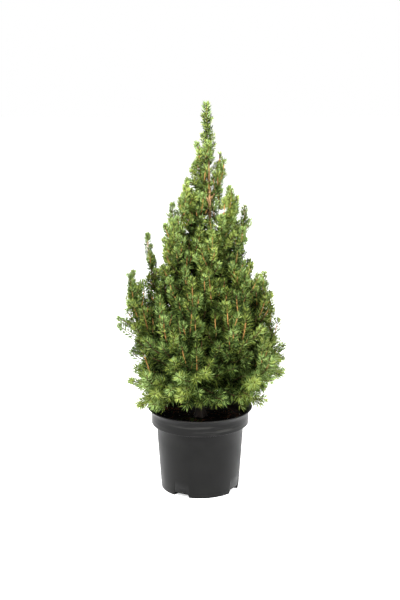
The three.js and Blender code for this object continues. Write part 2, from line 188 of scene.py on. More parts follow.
# Young shoots that stand in front of the rest or reach out at the sides, by mass: share along its bough,
# bearing, climb, length.
YOUNG_SHOOTS = {
    "skirt_1": [(0.7, -171, 36, 38), (0.8, -160, 40, 18)],
    "skirt_2": [(0.7, 165, -40, 50)],
    "skirt_3": [(0.6, -144, -19, 36), (0.5, -12, -20, 44), (0.6, -138, 63, 81)],
    "skirt_4": [(0.6, 0, 61, 75)],
    "skirt_5": [(0.7, 0, -41, 34), (0.6, -28, -31, 50), (0.5, 40, 84, 100), (0.62, -81, 64, 70)],
    "lower_1": [(0.6, 0, 82, 74), (0.5, -15, 51, 46), (0.72, 180, 80, 89), (0.55, -42, 60, 75)],
    "lower_4": [(0.75, 180, 86, 64), (0.4, 176, 27, 82)],
    "lower_5": [(0.4, -66, 68, 130)],
    "lower_6": [(0.3, -98, 64, 130), (0.6, -122, 74, 100)],
    "middle_3": [(0.3, -100, 68, 134), (0.35, -116, 65, 150)],
    "high_4": [(0.85, 25, 76, 95)],
    "upper_1": [(0.6, -64, 79, 57), (0.5, -45, 78, 67)],
    "upper_2": [(0.6, -17, 75, 68), (0.5, 17, 52, 54), (0.45, -9, 66, 76), (0.45, 0, 79, 87)],
    "crown_1": [(0.7, 180, 35, 13), (0.5, 180, 37, 22), (0.98, 180, 81, 14)],
    "crown_2": [(0.6, 110, 75, 42)],
}
SHOOT_LUSH = 1.45  # against the finer twigs
STRAY_LUSH = 1.8
STRAY_LONGER = 0.8
SHELL = (45, 75)  # between these depths inside the crown, needles get fewer and coarser
FEWER = (1, 0.5)
COARSER = (1, 1.35)
# The shaded twigs inside: where they start and end, their spacing, the longest one, the share of the way to
# the outline, and how much they turn up, from the foot to the height where they have their full rise.
INNER = {"foot": 30, "spacing": 2.2, "top": 450, "longest": 95, "reach": 0.7, "lift": (0.25, 0.9), "low": 120}
YOUNG_STEM = (7, 40)  # a shoot is tan between these distances under its tip
# The needles on the outer side of an upright shoot are parted, so that its tan stem shows.
PARTING = {"facing": 0.76, "from": 10, "to": 42, "inside": 6, "dropped": 0.55}
# One needle: how far it strays from its even turn (radians) and its angle (degrees), its length against the
# rest, how much shorter it is at a tip, how far from a tip it folds forward, how it curves away from the
# stem at its foot and back beyond its bend (radians), and how much of it lies before and beyond the bend.
NEEDLE = {
    "turn": 0.5, "angle": 9, "length": (0.78, 1.08), "shorter": 0.22, "folding": 9, "away": 0.16,
    "back": 0.2, "before": 0.42, "beyond": 0.58,
}
# How light a spray is: lighter near the outside down to a depth, as painted light, and darker further in, as
# painted shade; more so on low shoots, with height, and by chance.
SPRAY_TONE = {
    "depth": 60, "outside": 0.4, "low": 0.24, "low_below": 300, "low_reach": 90, "fade": (1.2, 1.3),
    "height": 0.25, "chance": 0.19, "leader_chance": 0.12,
}
# How light a needle is on its spray: by chance, lighter near the tip, darker down the stem, partly as older
# needles and partly as painted shade near the stem.
NEEDLE_TONE = {"chance": 0.36, "tip": 0.24, "tip_reach": 14, "old": 0.14, "old_reach": 80}
WARM_SHARES = (0.8, 0.2)  # of the needles on a warm spray, and on a cool one
# What lies on the soil: name, count, half length, half width, half height, where most of it gathers, and
# its dark and light shade.
LITTER = [
    ("fallen_needles", 240, (4, 7), (0.4, 0.6), (0.4, 0.6), None, (0.03, 0.012, 0.005), (0.09, 0.04, 0.017)),
    ("bark_bits", 90, (1.6, 4), (1, 2.2), (0.5, 1), (-52, 48), (0.02, 0.006, 0.003), (0.07, 0.025, 0.011)),
    ("moss", 70, (1.5, 3.5), (1.5, 3), (0.8, 1.6), (-18, -12), (0.006, 0.009, 0.002), (0.03, 0.045, 0.008)),
    ("grit", 26, (0.7, 1.4), (0.7, 1.2), (0.5, 0.9), None, (0.16, 0.15, 0.13), (0.34, 0.32, 0.28)),
]
LITTER_REACH = 77
HEAP = {"share": 0.6, "spread": 12}  # how much of a kind gathers at its place, and how closely
# The soil's surface: relief as grain and height, how far it lies under its level, and its mesh.
SOIL = {"lumps": (0.06, 2.6), "crumbs": (0.35, 1.3), "sunk": 1.5, "clear": 0.6, "skirt": 4}
SOIL_MESH = {"rings": 60, "sides": 150}
# Bark: how deep its relief is and how fine, on the trunk and on the boughs.
RELIEF = {"trunk": (0.45, 0.55), "bough": (0.3, 0.8)}
UP = np.array([0.0, 0.0, 1.0])


# ---------- Helpers ----------


def seeded(seed):
    """Park and Miller's generator of numbers from 0 to 1, warmed up as in the CAD part."""
    state = seed * 7919 + 17

    def step():
        nonlocal state
        state = state * 16807 % 2147483647
        return state / 2147483647

    step()
    step()
    return step


def either(random, amount):
    return (2 * random() - 1) * amount


def mix(a, b, t):
    return a + (b - a) * t


def unit(vectors):
    vectors = np.asarray(vectors, float)
    return vectors / np.maximum(np.linalg.norm(vectors, axis=-1, keepdims=True), 1e-9)


def bearing(angle):
    return np.array([math.cos(angle), math.sin(angle), 0.0])


def heading(turn, climb):
    """The direction at a bearing that climbs at an angle, both in degrees."""
    turn, climb = math.radians(turn), math.radians(climb)
    return bearing(turn) * math.cos(climb) + UP * math.sin(climb)


class Line:
    """A curve that is walked by share of its length."""

    def __init__(self, points):
        self.points = np.asarray(points, float)
        steps = np.linalg.norm(np.diff(self.points, axis=0), axis=1)
        self.along = np.concatenate([[0], np.cumsum(steps)])
        self.length = self.along[-1]

    def at(self, share):
        walked = np.asarray(share, float) * self.length
        return np.stack([np.interp(walked, self.along, self.points[:, k]) for k in range(3)], -1)

    def tangent(self, share):
        share = np.asarray(share, float)
        return unit(self.at(np.minimum(share + 0.01, 1)) - self.at(np.maximum(share - 0.01, 0)))


def bezier(*controls, steps=200):
    t = np.linspace(0, 1, steps + 1)[:, None]
    points = [np.asarray(c, float) for c in controls]
    while len(points) > 1:
        points = [a + (b - a) * t for a, b in zip(points, points[1:])]
    return Line(points[0])


def straight(start, end):
    return Line([start, mix(start, end, 0.5), end])


def distance(points, paths):
    """From each point to the nearest of the paths, each a row of points."""
    starts = np.concatenate([path[:-1] for path in paths])
    spans = np.concatenate([np.diff(path, axis=0) for path in paths])
    offsets = points[:, None] - starts
    t = np.clip((offsets * spans).sum(-1) / (spans**2).sum(-1), 0, 1)
    return np.linalg.norm(offsets - t[..., None] * spans, axis=-1).min(1)


# ---------- Trunk, boughs and first shoots, as in the CAD part ----------


def trunk_axis(z):
    z = np.asarray(z, float)
    s = (z - SOIL_TOP) / (TREE_TOP - SOIL_TOP)
    x = TRUNK["lean"] * s + TRUNK["sway"] * s * np.sin(2 * np.pi * (s - 0.28))
    y = -TRUNK["sway"] * 0.5 * s * np.sin(2 * np.pi * s)
    return np.stack([x, y, z], -1)


def trunk_radius(z):
    s = np.clip((z - SOIL_TOP) / (TRUNK["top"] - SOIL_TOP), 0, 1)
    return mix(TRUNK["foot_radius"], TRUNK["top_radius"], s**0.85)


def bough_line(foot, angle, reach, tip, upright):
    start = trunk_axis(foot)
    out = bearing(angle)
    rise = tip - foot

    def along(out_share, up_share):
        return start + out * reach * out_share + UP * rise * up_share

    elbow = mix(0.55, 0.42, upright)
    return bezier(start, along(elbow, 0.2), along(0.97, mix(0.45, 0.5, upright)), along(1, 1))


class Mass:
    """A bough, and the shoots of the one mass of foliage on it."""

    def __init__(self, label, upright, bare, shoots, random, line, out):
        self.label, self.upright, self.bare = label, upright, bare
        self.most_shoots, self.random, self.line, self.out = shoots, random, line, out
        self.shoots, self.strays = [], 0
        self.paths = [line.at(np.arange(15) / 14)]


def plan_boughs():
    plans = []
    for name, count, foot_height, tier_reach, tier_tip, first, upright, bare, shoots in TIERS:
        for k in range(count):
            random = seeded(SEED + len(plans))
            angle = math.radians(first + k * 360 / count + either(random, TURN_JITTER))
            label = f"{name}_{k + 1}"
            reach = tier_reach * (1 + either(random, REACH_JITTER))
            tip = tier_tip + either(random, TIP_JITTER)
            reach, tip = OUTGROWN.get(label, (reach, tip))
            foot = SOIL_TOP + foot_height + (k % 2 * 2 - 1) * 5 + either(random, 3)
            line = bough_line(foot, angle, reach, tip, upright)
            plans.append(Mass(label, upright, bare, shoots, random, line, bearing(angle)))
    return plans


def outline_at(points):
    """The distance from the trunk to the outline, on the side where each point is."""
    heights, left, right = zip(*OUTLINE)
    z = points[..., 2]
    sideways = points[..., 0] - trunk_axis(z)[..., 0]
    out = np.maximum(np.hypot(sideways, points[..., 1]), 1e-6)
    return mix(np.interp(z, heights, left), np.interp(z, heights, right), (1 + sideways / out) / 2)


def clear_of_pot(points, lowest=LOWEST):
    over_pot = np.hypot(points[:, 0], points[:, 1]) < POT["rim_radius"] + CLEARANCE
    return points[:, 2] > POT["height"] + np.where(over_pot, lowest, 0)


def in_bay(points):
    x, z = points[..., 0], points[..., 2] + BAY_RISE * points[..., 1]
    return np.any([np.hypot((x - bx) / wide, (z - bz) / high) < 1 for bx, bz, wide, high in BAYS], axis=0)


def from_trunk(points):
    return np.hypot(points[:, 0] - trunk_axis(points[:, 2])[:, 0], points[:, 1])


def side_line(plan, share, turn, length):
    stem = plan.line.tangent(share)
    start = plan.line.at(share)
    x = unit(plan.out - stem * plan.out.dot(stem))
    y = np.cross(stem, x)
    sideways = x * math.cos(turn) + y * math.sin(turn)
    leave = unit(stem * 0.5 + sideways * 0.86)
    aim = unit(leave * 0.5 + UP * mix(0.05, 1.9, plan.upright) + plan.out * mix(0.7, 0.1, plan.upright))
    bend = start + leave * length * 0.4
    return bezier(start, bend, bend + aim * length * 0.6)


def growth(line, plan, plans):
    """How much of a line may grow before it meets the outline, the pot, the trunk or another mass."""
    points = line.at(np.arange(1, 17) / 16)
    others = [path for other in plans if other is not plan for path in other.paths]
    room = (
        (from_trunk(points) < outline_at(points))
        & (distance(points, [trunk_path]) > SHOOT["off_trunk"])
        & (distance(points, others) >= SHOOT["spacing"])
        & clear_of_pot(points)
    )
    return 1.0 if room.all() else int(np.argmin(room)) / 16


def grow_strays(plans):
    for plan in plans:
        for share, turn, climb, length in STRAYS.get(plan.label, []):
            start = plan.line.at(share)
            end = start + heading(turn, climb) * length
            plan.shoots.append((straight(start, end), 1.0))
            plan.strays += 1
            plan.paths.append(np.linspace(start, end, 7))


def grow_shoots(plans):
    for j in range(max(plan.most_shoots for plan in plans)):
        for plan in plans:
            if j >= plan.most_shoots:
                continue
            share = mix(plan.bare, 0.9, (j + 0.2 + plan.random() * 0.4) / plan.most_shoots)
            turn = j * GOLDEN_ANGLE + either(plan.random, 0.5)
            length = mix(SHOOT["longest"], SHOOT["shorter"], j / plan.most_shoots)
            length *= mix(0.85, 1.1, plan.random())
            line = side_line(plan, share, turn, length)
            grown = growth(line, plan, plans)
            if grown * length < SHOOT["least"]:
                continue
            plan.shoots.append((line, grown))
            plan.paths.append(line.at(np.arange(11) / 10)[: max(2, math.ceil(grown * 10) + 1)])


# ---------- Finer twigs ----------


class Spray:
    """One shoot with its needles. start and end are shares of its line.

    lush is how thickly it is set with needles, and longer how long they are, against the rest at its height.
    A tone of None leaves the shade to the place of the shoot in the crown, and a closing of None leaves it to
    its height how far the needles at its tip fold forward.
    """

    def __init__(self, line, start, end, mass, radius, lush=1.0, longer=1.0, tone=None, closing=None):
        self.line, self.start, self.end = line, start, end
        self.mass, self.radius = mass, radius
        self.lush, self.longer, self.tone, self.closing = lush, longer, tone, closing
        self.length = line.length * (end - start)


def at_height(values, point):
    return float(np.interp(point[2], HEIGHTS, values))


def frames(line, shares):
    """Tangents along a line, and two directions square to each."""
    along = line.tangent(shares)
    reference = np.where(np.abs(along[..., 2:]) > 0.9, [[1.0, 0, 0]], [[0, 0, 1.0]])
    x = unit(np.cross(reference, along))
    return along, x, np.cross(along, x)


def off_stem(line, share, turn):
    """The direction of a line at a share of its length, and one square to it at a turn round it."""
    along, x, y = frames(line, np.array([share]))
    return along[0], x[0] * math.cos(turn) + y[0] * math.sin(turn)


def twig_line(start, stem, sideways, length, lift, out):
    leave = unit(stem * 0.6 + sideways * 0.8)
    aim = unit(leave * 0.6 + stem * 0.35 + UP * lift + out)
    bend = start + leave * length * 0.35
    return bezier(start, bend, bend + aim * length * 0.65, steps=12)


def twig_room(line, parent_path):
    """The share of a twig that stays inside the crown, or close to the shoot that bears it."""
    points = line.at(np.arange(1, 9) / 8)
    inside = from_trunk(points) < outline_at(points)
    close = distance(points, [parent_path]) < TWIG["bud"] * 1.5
    room = (inside | close) & clear_of_pot(points) & ~in_bay(points)
    room &= distance(points, [trunk_path]) > TWIG["off_trunk"]
    return 1.0 if room.all() else int(np.argmin(room)) / 8


def grow_twigs(parent, out, random, sprays):
    """Side twigs down a shoot: buds near its tip, and longer ones further down."""
    path = parent.line.at(np.linspace(parent.start, parent.end, 12))
    down = TWIG["first"]
    turn = random() * 2 * math.pi
    while down < parent.length - TWIG["last"]:
        share = parent.end - down / parent.line.length
        start = parent.line.at(share)
        turn += GOLDEN_ANGLE + either(random, 0.35)
        length = min(at_height(LONGEST_TWIG, start), TWIG["bud"] + max(0, down - 14) * TWIG["growth"])
        length *= mix(0.7, 1.15, random())
        skipped = down < TWIG["unbranched"] and random() > at_height(KNOBBLY, start)
        down += at_height(TWIG_SPACING, start) * mix(*UNEVEN, random())
        if skipped:
            continue
        along, sideways = off_stem(parent.line, share, turn)
        outwards = out * at_height(TWIG_OUT, start)
        line = twig_line(start, along, sideways, length, at_height(TWIG_LIFT, start), outwards)
        room = twig_room(line, path)
        if room * length > TWIG["least"]:
            radius = mix(*TWIG["radius"], min(1, length / TWIG["thick_at"]))
            twig = Spray(line, 0.0, room, parent.mass, radius)
            sprays.append(twig)
            grow_buds(twig, random, sprays)


def grow_buds(twig, random, sprays):
    """The short last side twigs on a twig, which make a shoot look knobbly."""
    down = mix(30, BUD["under_tip"], at_height(KNOBBLY, twig.line.at(0.5)))
    turn = random() * 2 * math.pi
    while down < twig.length - 4:
        share = twig.end - down / twig.line.length
        turn += GOLDEN_ANGLE + either(random, 0.4)
        length = mix(BUD["least"], BUD["most"], random()) * mix(0.8, 1.3, down / 60)
        down += BUD["spacing"] * mix(*UNEVEN, random())
        along, sideways = off_stem(twig.line, share, turn)
        line = twig_line(twig.line.at(share), along, sideways, length, 0.3, sideways * 0.3)
        if clear_of_pot(line.at([1.0])).all():
            sprays.append(Spray(line, 0.1, 1.0, twig.mass, STEM["bud"]))


def young_line(start, turn, climb, length):
    reach = heading(turn, climb) * length
    bend = start + reach / 2 + (bearing(math.radians(turn)) * 0.14 - UP * 0.08) * length
    return bezier(start, bend, start + reach)


def shoots_of(plan):
    """The bough itself, its side shoots as far as the first opening, and its young shoots."""
    shoots = [Spray(plan.line, plan.bare * 0.4, 1.0, plan.label, STEM["bough"], SHOOT_LUSH)]
    for k, (line, grown) in enumerate(plan.shoots):
        open_from = np.flatnonzero(in_bay(line.at(np.linspace(0, grown, 20))))
        end = grown * (open_from[0] / 19 if len(open_from) else 1)
        if end * line.length > SHOOT["least"] / 2:
            lush, longer = (STRAY_LUSH, STRAY_LONGER) if k < plan.strays else (SHOOT_LUSH, 1.0)
            shoots.append(Spray(line, 0.0, end, plan.label, STEM["side"], lush, longer))
    for share, turn, climb, length in YOUNG_SHOOTS.get(plan.label, []):
        line = young_line(plan.line.at(share), turn, climb, length)
        shoots.append(Spray(line, 0.0, 1.0, plan.label, STEM["young"], SHOOT_LUSH))
    return shoots


def grow_sprays(plans):
    """Every shoot and twig of the crown, each with its own needles."""
    sprays = []
    for index, plan in enumerate(plans):
        random = seeded(SEED * 3 + index)
        for shoot in shoots_of(plan):
            sprays.append(shoot)
            grow_twigs(shoot, plan.out, random, sprays)
    return sprays


def grow_inner():
    """Thin shaded twigs that the trunk itself bears between its boughs."""
    random = seeded(SEED * 11)
    sprays = []
    line = Line(trunk_path)
    climbed, turn = float(INNER["foot"]), 0.0
    while climbed < INNER["top"] - SOIL_TOP:
        turn += GOLDEN_ANGLE + either(random, 0.3)
        out = bearing(turn)
        start = line.at(climbed / line.length)
        length = min(INNER["longest"], outline_at(start + out) * INNER["reach"]) * mix(0.5, 1.05, random())
        lift = mix(*INNER["lift"], min(1, climbed / INNER["low"]))
        twig = twig_line(start, UP, out, length, lift, out * 0.6)
        sprays.append(Spray(twig, 0.06, 1.0, "leader", STEM["inner"]))
        grow_buds(sprays[-1], random, sprays)
        climbed += INNER["spacing"]
    return sprays


def grow_leader():
    """The trunk's last shoot, and the short side shoots that clothe the top of the trunk."""
    random = seeded(SEED * 5)
    foot, top = TRUNK["top"] - LEADER["below_trunk_top"], TREE_TOP - LEADER["under_tree_top"]
    line = Line(trunk_axis(np.linspace(foot, top, 40)))
    clothed = (LEADER["bare_below"] - foot) / (top - foot)
    dress = LEADER["lush"], LEADER["longer"], LEADER["tone"], LEADER["closing"]
    side_dress = LEADER["side_lush"], LEADER["side_longer"], LEADER["tone"]
    sprays = [
        Spray(line, clothed, 1.0, "leader", STEM["leader"], *dress),
        Spray(line, 0.0, clothed, "leader", STEM["leader"], LEADER["bare_lush"]),
    ]
    down, turn = float(LEADER["first_side"]), 0.0
    while down < line.length - LEADER["last_side"]:
        share = 1 - down / line.length
        turn += GOLDEN_ANGLE + either(random, 0.3)
        start = line.at(share)
        along, sideways = off_stem(line, share, turn)
        length = (11 + min(down - 26, 70) * 0.2) * mix(0.75, 1.2, random())
        down += LEADER["side_spacing"] * mix(0.8, 1.2, random())
        if start[2] < LEADER["bare_below"] and sideways[1] < -0.5:
            continue
        twig = twig_line(start, along, sideways, length, 0.8, sideways * 0.3)
        sprays.append(Spray(twig, 0.1, 1.0, "leader", LEADER_SIDE_STEM, *side_dress))
    return sprays


trunk_path = trunk_axis(np.linspace(SOIL_TOP, TRUNK["top"], 30))
plans = plan_boughs()
grow_strays(plans)
grow_shoots(plans)
sprays = grow_sprays(plans) + grow_leader() + grow_inner()


# ---------- Meshes from arrays ----------


def make_object(name, points, faces, materials, indices=None, smooth=True):
    """A mesh object from an array of points in millimetres and an array of triangles or quads."""
    mesh = bpy.data.meshes.new(name)
    points = np.asarray(points, np.float32) * MM
    faces = np.asarray(faces, np.int32)
    sides = faces.shape[1]
    mesh.vertices.add(len(points))
    mesh.vertices.foreach_set("co", points.ravel())
    mesh.loops.add(faces.size)
    mesh.loops.foreach_set("vertex_index", faces.ravel())
    mesh.polygons.add(len(faces))
    mesh.polygons.foreach_set("loop_start", np.arange(0, faces.size, sides, dtype=np.int32))
    mesh.polygons.foreach_set("use_smooth", np.full(len(faces), smooth))
    for material in materials:
        mesh.materials.append(material)
    if indices is not None:
        mesh.polygons.foreach_set("material_index", np.asarray(indices, np.int32))
    mesh.update(calc_edges=True)
    mesh.validate()
    obj = bpy.data.objects.new(name, mesh)
    bpy.context.scene.collection.objects.link(obj)
    return obj


def ring_faces(sides, rings):
    """Triangles over rings of points, and round the two points after them that close both ends."""
    i, k = np.meshgrid(np.arange(sides), np.arange(rings - 1))
    a, b = k * sides + i, k * sides + (i + 1) % sides
    c, d = b + sides, a + sides
    walls = np.concatenate([np.stack([a, b, c], -1), np.stack([a, c, d], -1)]).reshape(-1, 3)
    i = np.arange(sides)
    last = (rings - 1) * sides
    first_end = np.stack([np.full(sides, rings * sides), (i + 1) % sides, i], -1)
    last_end = np.stack([np.full(sides, rings * sides + 1), last + i, last + (i + 1) % sides], -1)
    return np.concatenate([walls, first_end, last_end])


def tube(line, start, end, foot_radius, tip_radius, sides, step):
    """Points and triangles of a tapering tube along part of a line, closed by a point at each end."""
    rings = max(2, round(line.length * (end - start) / step)) + 1
    shares = np.linspace(start, end, rings)
    along, x, y = frames(line, shares)
    turn = np.arange(sides) / sides * 2 * np.pi
    radii = mix(foot_radius, tip_radius, (shares - start) / (end - start))
    spokes = np.cos(turn)[:, None, None] * x + np.sin(turn)[:, None, None] * y
    body = (line.at(shares) + spokes * radii[:, None]).transpose(1, 0, 2).reshape(-1, 3)
    points = np.concatenate([body, line.at([start]), line.at([end]) + along[-1:] * radii[-1]])
    return points, ring_faces(sides, rings)


def joined(parts):
    """One pair of arrays from many pairs of points and faces."""
    points, faces, offset = [], [], 0
    for part_points, part_faces in parts:
        points.append(part_points)
        faces.append(part_faces + offset)
        offset += len(part_points)
    return np.concatenate(points), np.concatenate(faces)


# ---------- Materials ----------


def material(name, **inputs):
    m = bpy.data.materials.new(name)
    m.use_nodes = True
    shader = m.node_tree.nodes["Principled BSDF"]
    for socket, value in inputs.items():
        shader.inputs[socket.replace("_", " ")].default_value = value
    return m


class Nodes:
    """A short way to add shader nodes to a material and join them up."""

    def __init__(self, m):
        self.tree = m.node_tree
        self.shader = self.tree.nodes["Principled BSDF"]

    def add(self, kind, inputs=(), **settings):
        node = self.tree.nodes.new(kind)
        for key, value in settings.items():
            setattr(node, key, value)
        for key, value in dict(inputs).items():
            if isinstance(value, bpy.types.NodeSocket):
                self.tree.links.new(value, node.inputs[key])
            else:
                node.inputs[key].default_value = value
        return node

    def ramp(self, factor, *stops):
        node = self.add("ShaderNodeValToRGB", {"Fac": factor})
        while len(node.color_ramp.elements) < len(stops):
            node.color_ramp.elements.new(0.5)
        for element, (position, colour) in zip(node.color_ramp.elements, stops):
            element.position = position
            element.color = (*colour, 1)
        return node.outputs["Color"]

    def place(self, scale=(1, 1, 1)):
        """Where a point is on the object, in metres, stretched by a scale."""
        place = self.add("ShaderNodeTexCoord").outputs["Object"]
        if scale == (1, 1, 1):
            return place
        return self.add("ShaderNodeMapping", {"Vector": place, "Scale": scale}).outputs["Vector"]

    def noise(self, place, scale, detail):
        inputs = {"Vector": place, "Scale": scale, "Detail": detail}
        return self.add("ShaderNodeTexNoise", inputs).outputs["Fac"]

    def height(self):
        return self.add("ShaderNodeSeparateXYZ", {"Vector": self.place()}).outputs["Z"]

    def spread(self, value, low, high, to_low=0.0, to_high=1.0):
        """A value mapped from one range to another, and held at its ends."""
        ranges = {"From Min": low, "From Max": high, "To Min": to_low, "To Max": to_high}
        return self.add("ShaderNodeMapRange", {"Value": value, **ranges}).outputs["Result"]

    def blend(self, factor, a, b):
        return self.add("ShaderNodeMix", {"Factor": factor, "A": a, "B": b}, data_type="RGBA").outputs[2]

    def bump(self, height, strength, distance, **normal):
        inputs = {"Height": height, "Strength": strength, "Distance": distance, **normal}
        return self.add("ShaderNodeBump", inputs).outputs["Normal"]

    def join(self, socket, target):
        self.tree.links.new(socket, self.shader.inputs[target])


# Needle tints from the darkest to the lightest. Which one a needle gets follows mostly its depth in the
# crown, so the dark ones are painted shade and the light ones painted light.
NEEDLE_TINTS = [
    ("shade", (0.011, 0.018, 0.0035)),
    ("deep", (0.027, 0.042, 0.008)),
    ("mid", (0.058, 0.086, 0.016)),
    ("green", (0.103, 0.147, 0.028)),
    ("bright", (0.163, 0.222, 0.05)),
    ("fresh", (0.245, 0.318, 0.085)),
]
# Some sprays are a cooler green and some a warmer one.
FAMILIES = [("cool", (0.92, 1.01, 1.18)), ("warm", (1.06, 1.0, 0.8))]
# The darker tints also reflect less, so that needles in painted shade keep no gloss: painted shade too.
needle_materials = [
    material(
        f"needles_{name}_{family}",
        Base_Color=(*(c * t for c, t in zip(colour, turned)), 1),
        Roughness=0.5,
        Specular_IOR_Level=0.02 + 0.04 * k,
    )
    for family, turned in FAMILIES
    for k, (name, colour) in enumerate(NEEDLE_TINTS)
]
TWIG_TINTS = [("twig_old", (0.05, 0.024, 0.01)), ("twig_young", (0.37, 0.19, 0.06))]
twig_materials = [
    material(name, Base_Color=(*colour, 1), Roughness=0.65, Specular_IOR_Level=0.15)
    for name, colour in TWIG_TINTS
]


# The dark old bark is near-black: partly the colour of old bark, partly painted shade under the crown on the
# lower trunk.
YOUNG_BARK = (0.3, 0.52)  # from dark old bark to tan young bark between these heights, in metres


def bark_material():
    m = material("bark", Roughness=0.8)
    n = Nodes(m)
    flakes = n.noise(n.place((1, 1, 0.45)), 420, 6)
    stops = (0.35, 0.55, 0.7)
    # Old bark, near-black: partly its own colour, partly painted shade under the crown.
    old = n.ramp(flakes, *zip(stops, [(0.006, 0.004, 0.0025), (0.018, 0.01, 0.006), (0.045, 0.026, 0.014)]))
    young = n.ramp(flakes, *zip(stops, [(0.15, 0.075, 0.03), (0.4, 0.235, 0.1), (0.6, 0.41, 0.21)]))
    n.join(n.blend(n.spread(n.height(), *YOUNG_BARK), old, young), "Base Color")
    n.join(n.bump(flakes, 0.5, 0.0006), "Normal")
    return m


def pot_material():
    """Matte injection-moulded plastic: faint mottling, fine scratches and dusty scuffs on the band."""
    m = material("pot_plastic", Specular_IOR_Level=0.088)
    n = Nodes(m)
    place = n.place()
    mottle = n.noise(place, 26, 5)
    streaks = n.noise(n.place((1, 1, 14)), 14, 7)
    ledge = (POT["height"] - POT["band_depth"]) * MM
    on_band = n.spread(n.height(), ledge - MM, ledge + MM)
    worn = n.spread(streaks, 0.52, 0.78)
    dust = n.add("ShaderNodeMath", {0: worn, 1: on_band}, operation="MULTIPLY").outputs[0]
    base = n.ramp(mottle, (0.3, (0.0032, 0.0032, 0.0031)), (0.7, (0.005, 0.005, 0.0048)))
    n.join(n.blend(dust, base, (0.028, 0.028, 0.026, 1)), "Base Color")
    n.join(n.spread(mottle, 0.3, 0.7, 0.34, 0.46), "Roughness")
    grain = n.bump(n.noise(place, 900, 3), 0.12, 0.0002)
    n.join(n.bump(mottle, 0.15, 0.0012, Normal=grain), "Normal")
    return m


def earth_material(name, dark, light, scale):
    m = material(name, Roughness=0.95, Specular_IOR_Level=0.05)
    n = Nodes(m)
    crumbs = n.noise(n.place(), scale, 8)
    n.join(n.ramp(crumbs, (0.35, dark), (0.75, light)), "Base Color")
    n.join(n.bump(crumbs, 0.8, 0.0015), "Normal")
    return m


# ---------- Needles ----------


def before_trunk(points):
    """Where a needle would hide the bare upper length of the trunk."""
    sideways = np.abs(points[:, 0] - trunk_axis(points[:, 2])[:, 0])
    level = (points[:, 2] > TRUNK_SHOWS["from"]) & (points[:, 2] < TRUNK_SHOWS["to"])
    return level & (sideways < TRUNK_SHOWS["half_width"]) & (points[:, 1] < 0)


def spray_tone(spray, random):
    """How light a tint a spray gets, from 0, deep inside the crown, to 1, at its sunny outside: painted shade
    inside and painted light outside.
    """
    t = SPRAY_TONE
    if spray.tone is not None:
        return spray.tone + either(random, t["leader_chance"])
    tip = spray.line.at([spray.end])
    # The tip's depth under the outline sets painted shade: the deeper inside the crown, the darker the tint.
    depth = (outline_at(tip) - from_trunk(tip))[0]
    height = (tip[0, 2] - SOIL_TOP) / (TREE_TOP - SOIL_TOP)
    outside = 1 - np.clip(depth / t["depth"], 0, 1)
    low = np.clip((t["low_below"] - tip[0, 2]) / t["low_reach"], 0, 1)
    light = (t["outside"] + t["low"] * low) * outside ** mix(*t["fade"], low)
    return light + t["height"] * height + either(random, t["chance"])


def needle_arrays(spray, random, rng):
    """Roots, bends and tips of a spray's needles, with a tint and a radius for each."""
    middle = spray.line.at(mix(spray.start, spray.end, 0.6))
    size = at_height(NEEDLE_LENGTH, middle) * spray.longer
    spread = at_height(NEEDLE_ANGLE, middle)
    needles = max(1, round(spray.length * at_height(NEEDLES_PER_MM, middle) * spray.lush))
    spaced = (np.arange(needles) + rng.random(needles)) / needles
    tuft = rng.random(round(TUFT["needles"] * min(1.4, spray.radius) * min(1, spray.lush)))
    walked = np.sort(np.concatenate([spaced, 1 - tuft * min(1, TUFT["depth"] / spray.length)]))
    count = len(walked)
    shares = mix(spray.start, spray.end, np.clip(walked, 0, 0.995))
    along, x, y = frames(spray.line, shares)
    turn = (np.arange(count) * GOLDEN_ANGLE + rng.uniform(-NEEDLE["turn"], NEEDLE["turn"], count))[:, None]
    outward = x * np.cos(turn) + y * np.sin(turn)
    from_tip = (1 - walked) * spray.length
    closing = np.clip(1 - from_tip / NEEDLE["folding"], 0, 1)
    fold = at_height(CLOSING, middle) if spray.closing is None else spray.closing
    strays = rng.uniform(-1, 1, count) * (NEEDLE["angle"] + TUFT["spread"] * closing)
    angle = np.radians(spread * (1 - fold * closing) + strays)[:, None]
    root = spray.line.at(shares) + outward * spray.radius * 0.5
    depth = outline_at(root) - from_trunk(root)
    bulk = np.interp(depth, SHELL, COARSER)
    uneven = rng.uniform(*NEEDLE["length"], count)
    length = (size * bulk * uneven * (1 - NEEDLE["shorter"] * closing))[:, None]
    length *= np.clip(0.55 + walked * 3, 0, 1)[:, None] if spray.start == 0 else 1
    leave = along * np.cos(angle + NEEDLE["away"]) + outward * np.sin(angle + NEEDLE["away"])
    lean = along * np.cos(angle - NEEDLE["back"]) + outward * np.sin(angle - NEEDLE["back"])
    bend = root + leave * length * NEEDLE["before"]
    tip = bend + lean * length * NEEDLE["beyond"]
    t = NEEDLE_TONE
    tone = spray_tone(spray, random) + rng.uniform(-t["chance"], t["chance"], count)
    # Darker down the stem: partly older needles, partly painted shade inside the spray.
    older_and_shaded = t["old"] * np.clip(from_tip / t["old_reach"], 0, 1)
    tone += t["tip"] * np.exp(-from_tip / t["tip_reach"]) - older_and_shaded
    tint = np.clip((tone * len(NEEDLE_TINTS)).astype(int), 0, len(NEEDLE_TINTS) - 1)
    tint += len(NEEDLE_TINTS) * (rng.random(count) < WARM_SHARES[0 if random() < 0.5 else 1])
    kept = rng.random(count) < np.interp(depth, SHELL, FEWER)
    kept &= ~(in_bay(tip) & in_bay(root)) & clear_of_pot(tip, NEEDLES_LOWEST)
    kept &= ~before_trunk(tip) | (rng.random(count) < TRUNK_SHOWS["kept"])
    if spray.radius > STEM["leader"]:
        outside = unit((root - trunk_axis(root[:, 2])) * [1, 1, 0])
        facing = (outward * outside).sum(1) > PARTING["facing"]
        parted = facing & (from_tip > PARTING["from"]) & (from_tip < PARTING["to"])
        parted &= depth > PARTING["inside"]
        kept &= ~parted | (rng.random(count) > PARTING["dropped"])
    radius = at_height(NEEDLE_RADIUS, middle) * bulk
    return root[kept], bend[kept], tip[kept], tint[kept], radius[kept]


